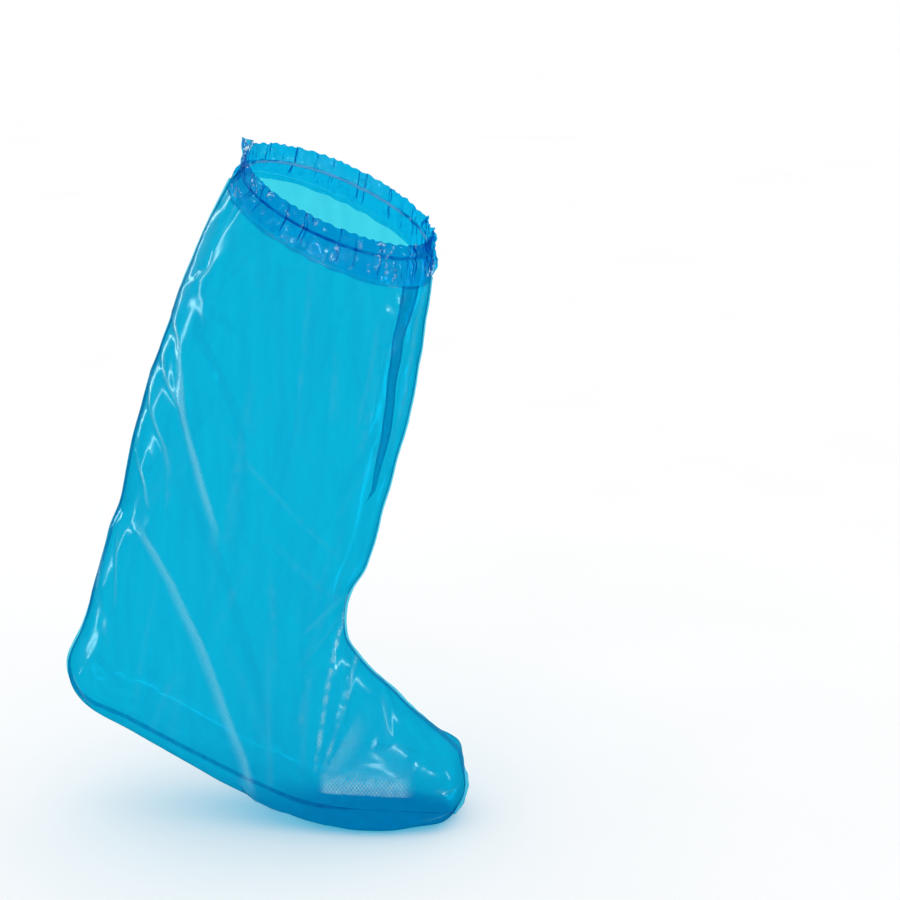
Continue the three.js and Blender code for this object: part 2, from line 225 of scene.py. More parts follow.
@dataclass(eq=False)
class Gathers:
    """The random pleats that the elastic draws the film into, shared by the cuff and the panels' tops.

    Lengths are in millimetres. Scatter is a share of the pleats' pitch, and reaches are places up and down.
    """

    count: int = 120
    heights: tuple[float, float] = (0.7, 2.6)
    widths: tuple[float, float] = (1.5, 3.4)
    crest: float = 0.4
    slant: float = 9.0
    scatter: float = 0.45
    reaches: tuple[float, float] = (0.2, 1.9)
    full_share: float = 1.35
    radius: float = 80.0
    seed: int = 7

    # Most pleats stand out, and the others are shallower and go in.
    WAYS = (1, 1, -0.7)
    # How strong the pleats are at places along the cover: top edge, elastic, puff, hem edge, shaft.
    PLACES = (0.0, 0.35, 0.85, 1.0, 1.15, 1.45, 1.75, 2.0, 2.5, 3.2)
    STRENGTH = (1.0, 1.0, 0.45, 0.3, 0.6, 0.9, 0.6, 0.3, 0.08, 0.0)

    def __post_init__(self) -> None:
        """Draws each pleat's turn, width, height, slant and reach."""
        draw = random.Random(self.seed)
        self.pleats = [
            (
                2 * math.pi * (index + draw.uniform(-self.scatter, self.scatter)) / self.count,
                draw.uniform(*self.widths),
                draw.uniform(*self.heights) * draw.choice(self.WAYS),
                draw.uniform(-self.slant, self.slant),
                draw.uniform(*self.reaches),
            )
            for index in range(self.count)
        ]

    def relief(self, turn: np.ndarray, place: np.ndarray) -> np.ndarray:
        """How far the pleats lift the film.

        Args:
            turn: angles round the opening.
            place: places along the cover, shaped like turn.

        Returns:
            The lift in millimetres, shaped like turn.
        """
        strength = np.interp(place, self.PLACES, self.STRENGTH)
        lift = np.zeros(turn.shape)
        for centre, width, height, slant, reach in self.pleats:
            gap = np.mod(turn - centre + math.pi, 2 * math.pi) - math.pi
            distance = np.abs(gap * self.radius - slant * (place - 1))
            fade = np.clip(self.full_share - np.abs(place - 1) / reach, 0, 1)
            lift += height * fade * np.exp(-(np.hypot(distance, self.crest) - self.crest) / width)
        return strength * (lift - np.mean(lift))


class CoverForm:
    """The smooth worn form of the cover, from its table of sections, with the gathers at its top."""

    FLANK_SHARE = 0.2
    ANGLE_STEPS = 120
    STEPS_PER_PLACE = 20
    # How far the seams waver in millimetres, how often they do so down to places along the cover, and a seed
    # for each coordinate.
    WAVER = 1.6
    WAVER_PLACES = (2, 9, 19)
    WAVER_COUNTS = (0, 13, 20)
    WAVER_SEEDS = (1.3, 2.7, 4.1, 5.9)

    def __init__(self, sections: dict[str, Section], gathers: Gathers) -> None:
        """Keeps the table as numbers, and the gathers.

        Args:
            sections: the cross-sections, from the ruffle's edge to the toe.
            gathers: the pleats that the elastic draws the film into.
        """
        self.table = np.array([astuple(section) for section in sections.values()])
        self.gathers = gathers

    def at(self, place: float) -> Section:
        """The section at a place along the cover, smoothly between the table's rows.

        Args:
            place: the place, counted in rows of the table.

        Returns:
            The section there.
        """
        last = len(self.table) - 1
        row = min(int(place), last - 1)
        share = place - row
        start, end = self.table[row], self.table[row + 1]
        before = self.table[row - 1] if row > 0 else 2 * start - end
        after = self.table[row + 2] if row + 2 <= last else 2 * end - start
        slope_in, slope_out = (end - before) / 2, (after - start) / 2
        square, cube = share**2, share**3
        values = (
            (2 * cube - 3 * square + 1) * start
            + (cube - 2 * square + share) * slope_in
            + (3 * square - 2 * cube) * end
            + (cube - square) * slope_out
        )
        for column, seed in enumerate(self.WAVER_SEEDS):
            wave = noise.noise((np.interp(place, self.WAVER_PLACES, self.WAVER_COUNTS), seed, 0.5))
            values[column] += self.WAVER * wave * np.interp(place, (CUFF_EDGE, CUFF_EDGE + 1), (0, 1))
        return Section(*values)

    @staticmethod
    def middle(section: Section, share: np.ndarray) -> np.ndarray:
        """Points of a section in the middle plane.

        Args:
            section: the section.
            share: shares of the way from its back to its front.

        Returns:
            The points' X and Z, a row each.
        """
        back = np.array([section.back_x, section.back_z])
        chord = np.array([section.front_x, section.front_z]) - back
        forward = np.array([chord[1], -chord[0]]) / max(np.hypot(*chord), 1e-6)
        bend = 4 * section.bow * share * (1 - share)
        return back + np.outer(share, chord) + np.outer(bend, forward)

    def half_loop(self, place: float, side: Side, offset: float, columns: int) -> np.ndarray:
        """One side of a section, as evenly spaced points from the back seam to the front seam.

        Args:
            place: the place along the cover.
            side: the side of the cover.
            offset: how far the seam edges lie from the middle plane.
            columns: the number of steps.

        Returns:
            The points, a row each.
        """
        section = self.at(place)
        angle = np.linspace(0, math.pi, self.ANGLE_STEPS + 1)
        behind = angle < math.pi / 2
        power = np.where(behind, 2 / section.back_round, 2 / section.front_round)
        reach = np.abs(np.cos(angle)) ** power
        widest = section.widest
        share = np.where(behind, widest * (1 - reach), widest + (1 - widest) * reach)
        across = np.maximum(np.sin(angle), 0) ** power
        flat = self.middle(section, share)
        y = side.value * (offset + max(section.half, 0) * across)
        points = np.column_stack([flat[:, 0], y, flat[:, 1] + side.value * section.drop * across])
        lengths = run_lengths(points)
        even = np.linspace(0, lengths[-1], columns + 1)
        return np.column_stack([np.interp(even, lengths, points[:, axis]) for axis in range(3)])

    def ring(self, place: float, columns: int) -> np.ndarray:
        """A closed loop of points round the opening, its last point the same as its first.

        Args:
            place: the place along the cover.
            columns: the number of steps on each side.

        Returns:
            The points, a row each.
        """
        right = self.half_loop(place, Side.RIGHT, 0, columns)
        left = self.half_loop(place, Side.LEFT, 0, columns)[::-1]
        return np.concatenate([right, left[1:]])

    def even_places(self, rows: int) -> np.ndarray:
        """Places from the cuff's edge to the toe that lie an even distance apart along the flank.

        Args:
            rows: the number of steps.

        Returns:
            The places, counted in rows of the table.
        """
        fine = np.linspace(CUFF_EDGE, TOE_END, self.STEPS_PER_PLACE * (TOE_END - CUFF_EDGE) + 1)
        flank = []
        for place in fine:
            section = self.at(place)
            x, z = self.middle(section, np.array([self.FLANK_SHARE]))[0]
            flank.append((x, section.half, z))
        lengths = run_lengths(np.array(flank))
        return np.interp(np.linspace(0, lengths[-1], rows + 1), lengths, fine)


def grid_normals(grid: np.ndarray, sign: float) -> np.ndarray:
    """Unit normals of a grid of points.

    Args:
        grid: the points, indexed by row and column.
        sign: 1 or -1, which way the normals point.

    Returns:
        The normals, indexed like the grid.
    """
    normals = sign * np.cross(np.gradient(grid, axis=0), np.gradient(grid, axis=1))
    return normals / np.maximum(np.linalg.norm(normals, axis=2, keepdims=True), 1e-9)


def edge_fade(share: np.ndarray, steepness: float) -> np.ndarray:
    """How much of a move is left at shares of the way across a panel: none at its two edges, soon all."""
    return np.minimum(1, steepness * np.sin(math.pi * share))


def crumple(grid: np.ndarray, scale: tuple[float, float, float], seed: float) -> np.ndarray:
    """Smooth noise at each point of a grid.

    Args:
        grid: the points, in millimetres.
        scale: the size of its lumps along X, Y and Z, in millimetres.
        seed: shifts the pattern.

    Returns:
        Values from about -1 to 1, indexed like the grid.
    """
    leaning = grid.copy()
    leaning[..., 0] -= SHAFT_LEAN * grid[..., 2]
    points = (leaning / np.array(scale) + seed).reshape(-1, 3)
    return np.array([noise.noise(point) for point in points.tolist()]).reshape(grid.shape[:2])


# The share of a pleat's reach over which its top layer comes down to the film beside it.
LAP_SLOPE = 0.6


def lapped(across: np.ndarray, tuck: np.ndarray, reach: float) -> tuple[np.ndarray, np.ndarray]:
    """Where film goes that laps over itself in a flat pleat of three layers.

    Args:
        across: distances from the pleat's middle.
        tuck: how far the film laps over itself there.
        reach: the distance within which the film is drawn in.

    Returns:
        The distances after lapping, and how far each point is lifted, in layers.
    """
    run = (np.clip(across / reach, -1, 1) + 1) / 2 * (2 * reach + 2 * tuck)
    first = run < reach + tuck / 2
    second = ~first & (run < reach + 1.5 * tuck)
    place = np.where(first, run - reach, np.where(second, reach + tuck - run, run - reach - 2 * tuck))
    top = 2 * np.clip(1 + (place + tuck / 2) / (LAP_SLOPE * reach), 0, 1)
    lift = np.where(first, top, np.where(second, 1.0, 0.0))
    return np.where(np.abs(across) < reach, place, across), lift * np.minimum(1, tuck / 2)


def beside_line(flat: np.ndarray, line: np.ndarray) -> tuple[np.ndarray, np.ndarray, np.ndarray]:
    """Where points lie beside a line of straight stretches.

    Args:
        flat: the points' X and Z, indexed by row and column.
        line: the line's corners, a row each.

    Returns:
        The distances from the line, the shares of the way along it, and the distances again, below zero
        on its right.
    """
    steps = np.linalg.norm(np.diff(line, axis=0), axis=1)
    run = run_lengths(line)
    nearest = np.full(flat.shape[:2], 1e9)
    along, across = np.zeros(nearest.shape), np.zeros(nearest.shape)
    for index, step in enumerate(steps):
        direction = (line[index + 1] - line[index]) / step
        offset = flat - line[index]
        travel = np.clip(offset @ direction, 0, step)
        distance = np.linalg.norm(offset - travel[..., None] * direction, axis=-1)
        closer = distance < nearest
        beside = np.array([-direction[1], direction[0]])
        nearest = np.where(closer, distance, nearest)
        along = np.where(closer, (run[index] + travel) / run[-1], along)
        across = np.where(closer, distance * np.sign(offset @ beside), across)
    return nearest, along, across


@dataclass(frozen=True)
class CreaseLook:
    """How folds slope and where sheen is painted on them; the crack along a crest and the sheen's bits are
    in millimetres.
    """

    flank: float = 1.6
    steep_flank: float = 0.5
    gentle_flank: float = 0.3
    crack: float = 2.0
    milk_and_sheen: float = 1.4
    ending: float = 1.5
    bit_size: tuple[float, float, float] = (4, 4, 7)
    bit_seed: float = 1.9
    bit_mean: float = 0.7
    bit_range: tuple[float, float] = (0.1, 1.3)


def fold_shift(
    folds: Sequence[Fold],
    grid: np.ndarray,
    normals: np.ndarray,
    fade: np.ndarray,
    look: CreaseLook = CreaseLook(),
) -> tuple[np.ndarray, np.ndarray]:
    """How folds move the film and paint sheen on it, at each point of a grid.

    Args:
        folds: the folds, as seen from the side.
        grid: the film's points, in millimetres.
        normals: the film's outward normals.
        fade: how much of the folds' height is left at each point, from 0 to 1.
        look: how the folds slope and whiten.

    Returns:
        The moves in millimetres and the painted sheen, both indexed like the grid.
    """
    flat = grid[..., [0, 2]]
    relief = np.zeros(flat.shape[:2])
    sheen_mask = np.zeros(relief.shape)
    bits = np.clip(look.bit_mean + crumple(grid, look.bit_size, look.bit_seed), *look.bit_range)
    for fold in folds:
        nearest, along, across = beside_line(flat, np.array(fold.line, dtype=float))
        rise = np.minimum(along / fold.ends[0], (1 - along) / fold.ends[1])
        swell = np.sin(math.pi / 2 * np.clip(rise, 0, 1)) ** look.ending
        rounded = np.sqrt(nearest**2 + fold.crest**2) - fold.crest
        on_steep = across * fold.steep > 0
        flank = np.where(on_steep, look.steep_flank, 1 + look.gentle_flank * abs(fold.steep))
        width = look.flank * fold.spread * flank
        relief += fold.height * np.clip(np.minimum(1 - rounded / width, rise), 0, 1)
        # Painted sheen: pale across the steep flank, and along a narrow crack over the crest.
        sheen_ramp = np.clip(look.milk_and_sheen - look.milk_and_sheen * nearest / np.where(on_steep, width, look.crack), 0, 1)
        sheen_mask = np.maximum(sheen_mask, fold.pale * sheen_ramp * swell * (1 - fold.broken * (1 - bits)))
    return normals * (fade * relief)[..., None], sheen_mask


@dataclass(frozen=True)
class Pleat:
    """A flat pleat of three layers down the shin.

    Its two folded edges lie along columns of the panel's grid. At places down the cover, centres say how far
    it lies from the front seam and laps how far it laps, as shares of the way round. A negative lap is film
    that lies flat.
    """

    edges: tuple[int, int]
    places: tuple[float, ...]
    centres: tuple[float, ...]
    laps: tuple[float, ...]
    rise: int = 8
    layer_gap: float = 0.5
    full_lap: float = 0.01

    def laid(
        self, grid: np.ndarray, normals: np.ndarray, places: np.ndarray
    ) -> tuple[np.ndarray, np.ndarray, np.ndarray]:
        """Lays the pleat in a panel.

        Args:
            grid: the panel's points, indexed by row and column.
            normals: the panel's outward normals.
            places: the rows' places along the cover.

        Returns:
            The points and normals of the pleated film, and how far its layers lift it, in millimetres.
        """
        first, second = self.edges
        last = grid.shape[1] - 1
        column = np.arange(last + 1)
        middles = 1 - np.interp(places, self.places, self.centres)
        laps = np.interp(places, self.places, self.laps)
        laid = []
        for row, middle, lap in zip(np.concatenate([grid, normals], axis=2), middles, laps):
            at = np.interp(column, (0, first, second, last), (0, middle + lap / 2, middle - lap / 2, 1))
            laid.append(np.column_stack([np.interp(at, column / last, row[:, axis]) for axis in range(6)]))
        layers = np.interp(column, (first - self.rise, first, second), (0, 2, 0))
        lift = self.layer_gap * layers[None, :] * np.clip(laps / self.full_lap, 0, 1)[:, None]
        both = np.array(laid)
        return both[..., :3], both[..., 3:], lift

    def middle_layer(self, columns: int, places: np.ndarray) -> np.ndarray:
        """Which points lie in the pleat's middle layer.

        Args:
            columns: the panel's columns of points.
            places: the rows' places along the cover.

        Returns:
            True for those points, indexed by row and column.
        """
        column = np.arange(columns)
        inside = (column > self.edges[0]) & (column < self.edges[1])
        return inside[None, :] & (np.interp(places, self.places, self.laps) > 0)[:, None]


SHIN_PLEAT = Pleat(
    (129, 133),
    (2.0, 2.5, 3.0, 3.5, 4.0, 4.75, 5.5, 6.0, 6.6, 7.2),
    (0.158, 0.160, 0.159, 0.161, 0.153, 0.138, 0.118, 0.104, 0.098, 0.138),
    (0.075, 0.066, 0.056, 0.042, 0.038, 0.030, 0.030, 0.026, 0.012, -0.026),
)


@dataclass(frozen=True)
class CreaseSizes:
    """Many small straight creases of handled film, in millimetres; turns in radians from straight down."""

    count: int = 44
    reach: float = 0.6
    lengths: tuple[float, float] = (60.0, 220.0)
    spreads: tuple[float, float] = (5.0, 14.0)
    slopes: tuple[float, float] = (0.03, 0.1)
    turns: tuple[float, ...] = (-0.28, -0.28, 0.42)
    scatter: float = 0.2
    # The most painted sheen that a crease gets.
    palest: float = 0.35


def handled_creases(grid: np.ndarray, sizes: CreaseSizes, seed: int) -> list[Fold]:
    """Small straight creases strewn over a panel along the ways that it is drawn tight.

    Args:
        grid: the panel's points, in millimetres.
        sizes: the creases' sizes.
        seed: draws the creases.

    Returns:
        The creases, half of them valleys.
    """
    draw = random.Random(seed)
    creases = []
    for _ in range(sizes.count):
        x, _, z = grid[draw.randrange(int(sizes.reach * grid.shape[0])), draw.randrange(grid.shape[1])]
        turn = draw.choice(sizes.turns) + draw.gauss(0, sizes.scatter)
        reach = draw.uniform(*sizes.lengths) / 2
        spread = draw.uniform(*sizes.spreads)
        height = spread * draw.uniform(*sizes.slopes) * draw.choice((1, -1))
        across, down = reach * math.sin(turn), reach * math.cos(turn)
        line = ((x - across, z + down), (x + across, z - down))
        pale = draw.uniform(0, sizes.palest)
        creases.append(Fold(line, spread, height, steep=draw.choice((1, -1)), pale=pale, broken=1))
    return creases


@dataclass(frozen=True)
class FacetSizes:
    """The flat facets that handled film is crumpled into; spacing and slant are in cells of the grid."""

    down: float
    across: float
    slant: float
    seed: int


def crumpled_facets(shape: tuple[int, int], sizes: FacetSizes) -> np.ndarray:
    """Heights of film crumpled into flat facets with sharp edges.

    Args:
        shape: the grid's rows and columns.
        sizes: the facets' sizes.

    Returns:
        Heights from -1 to 1, indexed like the grid.
    """
    draw = random.Random(sizes.seed)
    spare = 2 + int(abs(sizes.slant) * shape[0] / sizes.down)
    corners = [
        Vector((column + draw.uniform(-0.5, 0.5), row + draw.uniform(-0.5, 0.5)))
        for row in range(-2, int(shape[0] / sizes.down) + 3)
        for column in range(-spare, int(shape[1] / sizes.across) + spare + 1)
    ]
    tops = np.array([draw.uniform(-1, 1) for _ in corners])
    points, _, triangles, origins, _, _ = geometry.delaunay_2d_cdt(corners, [], [], 0, 1e-6)
    rows, columns = np.mgrid[: shape[0], : shape[1]]
    down = rows / sizes.down
    across = columns / sizes.across - sizes.slant * down
    heights = np.zeros(shape)
    for triangle in triangles:
        (ax, ay), (bx, by), (cx, cy) = (points[index] for index in triangle)
        level = [tops[origins[index][0]] for index in triangle]
        low, high = min(ay, by, cy) * sizes.down, max(ay, by, cy) * sizes.down
        part = slice(max(0, int(low)), max(0, int(high) + 2))
        x, y = across[part], down[part]
        whole = (bx - ax) * (cy - ay) - (cx - ax) * (by - ay)
        second = ((x - ax) * (cy - ay) - (cx - ax) * (y - ay)) / whole
        third = ((bx - ax) * (y - ay) - (x - ax) * (by - ay)) / whole
        inside = (second >= 0) & (third >= 0) & (second + third <= 1)
        height = level[0] + second * (level[1] - level[0]) + third * (level[2] - level[0])
        heights[part] = np.where(inside, height, heights[part])
    return heights


@dataclass(eq=False)
class Piece:
    """A finished piece of the cover: a mesh made from a grid, with its CAD node and material slot."""

    name: str
    node: str
    slot: str

    def sheet(
        self,
        points: np.ndarray,
        thickness: float,
        sheen_mask: np.ndarray | None = None,
        closed: bool = False,
        sign: int = 1,
    ) -> bpy.types.Object:
        """A thin closed skin along a grid of points.

        Args:
            points: the points in millimetres, indexed by row and column.
            thickness: the skin's thickness in millimetres.
            sheen_mask: the painted sheen and glints along creases, indexed like the points.
            closed: whether the last column joins the first.
            sign: 1 if the grid's faces already look outward, or -1.

        Returns:
            The object, placed at the origin.
        """
        rows, columns = points.shape[0] - 1, points.shape[1] - 1
        mesh = bpy.data.meshes.new(self.name)
        builder = bmesh.new()
        bmesh.ops.create_grid(builder, x_segments=columns, y_segments=rows, size=0.5)
        sheen_ramp = builder.verts.layers.float.new(SHEEN_ATTRIBUTE)
        for vertex in builder.verts:
            row = round((vertex.co.y + 0.5) * rows)
            column = round((vertex.co.x + 0.5) * columns)
            vertex.co = Vector(points[row, column] * MM)
            vertex[sheen_ramp] = 0 if sheen_mask is None else sheen_mask[row, column]
        if closed:
            bmesh.ops.remove_doubles(builder, verts=builder.verts, dist=1e-6)
        if sign < 0:
            bmesh.ops.reverse_faces(builder, faces=builder.faces)
        for face in builder.faces:
            face.smooth = True
        builder.to_mesh(mesh)
        builder.free()
        body = bpy.data.objects.new(self.name, mesh)
        bpy.context.scene.collection.objects.link(body)
        skin = body.modifiers.new("film", "SOLIDIFY")
        skin.thickness = thickness * MM
        skin.offset = 0
        skin.use_rim = True
        return body

    def declare(self, body: bpy.types.Object, material: bpy.types.Material) -> None:
        """Gives the piece its finish and ties it to the frame.

        Args:
            body: the piece's object.
            material: its finish.
        """
        body.data.materials.append(material)
        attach(body, "root")
        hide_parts(self.node)


@dataclass(eq=False)
class FilmPanel(Piece):
    """One side of the cover: a film panel from the cuff to the toe with its folds; sizes in millimetres."""

    side: Side
    folds: dict[str, Fold]
    pleat: Pleat | None = None
    rows: int = 304
    columns: int = 152
    film: float = 0.25
    seam_offset: float = 0.35
    swell: float = 0.6

    # How fast folds grow away from the panel's sides, from its two ends, and gathers from its seams.
    SIDE_FADE = 4
    END_FADE = 8
    SEAM_FADE = 6
    # How much of the swell is left at places along the cover, and the size of its lumps in millimetres.
    SWELL_PLACES = (8, 11)
    SWELL_SHARES = (1, 0.2)
    SWELL_SIZE = (46, 46, 90)
    SWELL_SEED = 3.1
    # Two sets of facets lie across each other: cells between their corners, and each set's slant and seed.
    FACET_SPACING = (40, 17)
    FACET_SETS = ((0.5, 31), (-0.7, 41))
    # How deep the facets are in millimetres, at places along the cover and at shares of the way round.
    FACET_PLACES = (2, 2.6, 5, 8, 12, 17, 19)
    FACET_DEPTHS = (0.2, 0.8, 0.8, 0.9, 0.7, 0.6, 0.2)
    FACET_TURNS = (0, 0.05, 0.3, 0.45, 0.8, 1)
    FACET_SHARES = (0, 1.5, 1.2, 0.7, 0.7, 0)
    CREASE_SEED = 20

    def build(self, form: CoverForm) -> bpy.types.Object:
        """Models the panel.

        Args:
            form: the cover's smooth form.

        Returns:
            The panel.
        """
        hand = self.side.value
        places = form.even_places(self.rows)
        loops = [form.half_loop(place, self.side, self.seam_offset, self.columns) for place in places]
        grid = np.array(loops)
        normals = grid_normals(grid, -hand)
        lift = np.zeros(grid.shape[:2])
        if self.pleat:
            grid, normals, lift = self.pleat.laid(grid, normals, places)
        column = np.linspace(0, 1, self.columns + 1)[None, :]
        row = np.linspace(0, 1, self.rows + 1)[:, None]
        fade = edge_fade(column, self.SIDE_FADE) * edge_fade(row, self.END_FADE)
        near_seam = edge_fade(column, self.SEAM_FADE)
        turn = math.pi * column if self.side is Side.RIGHT else 2 * math.pi - math.pi * column
        turns, heights = np.broadcast_arrays(turn, places[:, None])
        swell = self.swell * np.interp(heights, self.SWELL_PLACES, self.SWELL_SHARES)
        lift = lift + fade * swell * crumple(grid, self.SWELL_SIZE, self.SWELL_SEED * hand)
        lift += near_seam * form.gathers.relief(turns, heights)
        crumpled = sum(
            crumpled_facets(lift.shape, FacetSizes(*self.FACET_SPACING, slant, seed + hand))
            for slant, seed in self.FACET_SETS
        )
        depth = np.interp(heights, self.FACET_PLACES, self.FACET_DEPTHS)
        lift += depth * np.interp(column, self.FACET_TURNS, self.FACET_SHARES) * crumpled
        creases = handled_creases(grid, CreaseSizes(), self.CREASE_SEED + hand)
        folded, sheen_mask = fold_shift([*self.folds.values(), *creases], grid, normals, fade)
        if self.pleat:
            sheen_mask = np.where(self.pleat.middle_layer(self.columns + 1, places), -1, sheen_mask)
        grid = grid + near_seam[..., None] * folded + normals * lift[..., None]
        grid[..., 2] = np.maximum(grid[..., 2], FLOOR_MM + self.film)
        return self.sheet(grid, self.film, sheen_mask, sign=-hand)


@dataclass(eq=False)
class Puckers:
    """The lapped pleats and the small sharp crinkles of the crowded film in the cuff, with glints painted
    along some crinkles, in millimetres.

    Around and down say where the film's points lie when it is spread flat: how far round the opening, and
    how far up the outside and down the inside of the hem.
    """

    around: np.ndarray
    down: np.ndarray
    tuck_count: int = 32
    tuck_scatter: float = 0.4
    tuck_widths: tuple[float, float] = (0.8, 2.0)
    tuck_slant: float = 3.5
    tuck_reach: float = 2.2
    layer_gap: float = 0.5
    crinkle_count: int = 260
    lengths: tuple[float, float] = (7.0, 20.0)
    spreads: tuple[float, float] = (1.8, 4.2)
    slopes: tuple[float, float] = (0.25, 0.6)
    lean: float = 0.7
    glint_rows: tuple[tuple[float, float], ...] = ((1.0, 8.0), (16.0, 24.0))
    glint_shares: tuple[float, float] = (0.95, 0.2)
    glint_width: float = 2.2
    glint_strengths: tuple[float, float] = (0.3, 1)
    seed: int = 11

    def __post_init__(self) -> None:
        """Measures the loop and starts the draws."""
        self.loop = float(self.around.max())
        self.draw = random.Random(self.seed)

    def gap(self, centre: float | np.ndarray) -> np.ndarray:
        """Distances round the opening from a centre, the shorter way."""
        return np.mod(self.around - centre + self.loop / 2, self.loop) - self.loop / 2

    def tucks(self, strength: np.ndarray) -> tuple[np.ndarray, np.ndarray]:
        """The lapped pleats.

        Args:
            strength: how far the pleats go at each point, from 0 to 1.

        Returns:
            How far each point slides round the opening and how far it is lifted, in millimetres.
        """
        draw = self.draw
        slide, lift = np.zeros(self.around.shape), np.zeros(self.around.shape)
        for index in range(self.tuck_count):
            scatter = draw.uniform(-self.tuck_scatter, self.tuck_scatter)
            centre = self.loop * (index + scatter) / self.tuck_count
            tuck = draw.uniform(*self.tuck_widths)
            slant = draw.gauss(0, self.tuck_slant) / self.down.max()
            turn = draw.choice((1, -1))
            gap = self.gap(centre + slant * self.down)
            place, layers = lapped(turn * gap, tuck * strength, self.tuck_reach * tuck)
            slide += turn * place - gap
            lift += self.layer_gap * layers
        return slide, lift

    def crinkles(self) -> tuple[np.ndarray, np.ndarray]:
        """The small crinkles, with glints painted along some of them.

        Returns:
            The lift in millimetres and the painted glints.
        """
        draw = self.draw
        lift, sheen_mask = np.zeros(self.around.shape), np.zeros(self.around.shape)
        for _ in range(self.crinkle_count):
            centre, level = draw.uniform(0, self.loop), draw.uniform(0, self.down.max())
            lean = draw.gauss(0, self.lean)
            reach = draw.uniform(*self.lengths) / 2
            spread = draw.uniform(*self.spreads)
            height = spread * draw.uniform(*self.slopes) * draw.choice((1, -1))
            in_glint_row = any(low < level < high for low, high in self.glint_rows)
            gap, drop = self.gap(centre), self.down - level
            along = gap * math.sin(lean) + drop * math.cos(lean)
            across = np.abs(gap * math.cos(lean) - drop * math.sin(lean))
            hip = 2 - 2 * np.abs(along) / reach
            lift += height * np.clip(np.minimum(1 - across / spread, hip), 0, 1)
            # Painted glints: pale lines along some crinkles, most of them in the glint rows.
            if draw.random() < self.glint_shares[0 if in_glint_row else 1]:
                line = np.clip(np.minimum(1.3 - across / self.glint_width, 1.5 * hip - 1), 0, 1)
                sheen_mask = np.maximum(sheen_mask, draw.uniform(*self.glint_strengths) * line)
        return lift, sheen_mask


def uneven_wave(turns: np.ndarray, waves: tuple[float, float, float]) -> np.ndarray:
    """Waves round the opening.

    Args:
        turns: angles round the opening.
        waves: how many there are, how far they sway from evenness in radians, and how often.

    Returns:
        Values from -1 to 1, shaped like turns.
    """
    count, sway, sways = waves
    return np.sin(count * turns + sway * np.sin(sways * turns))


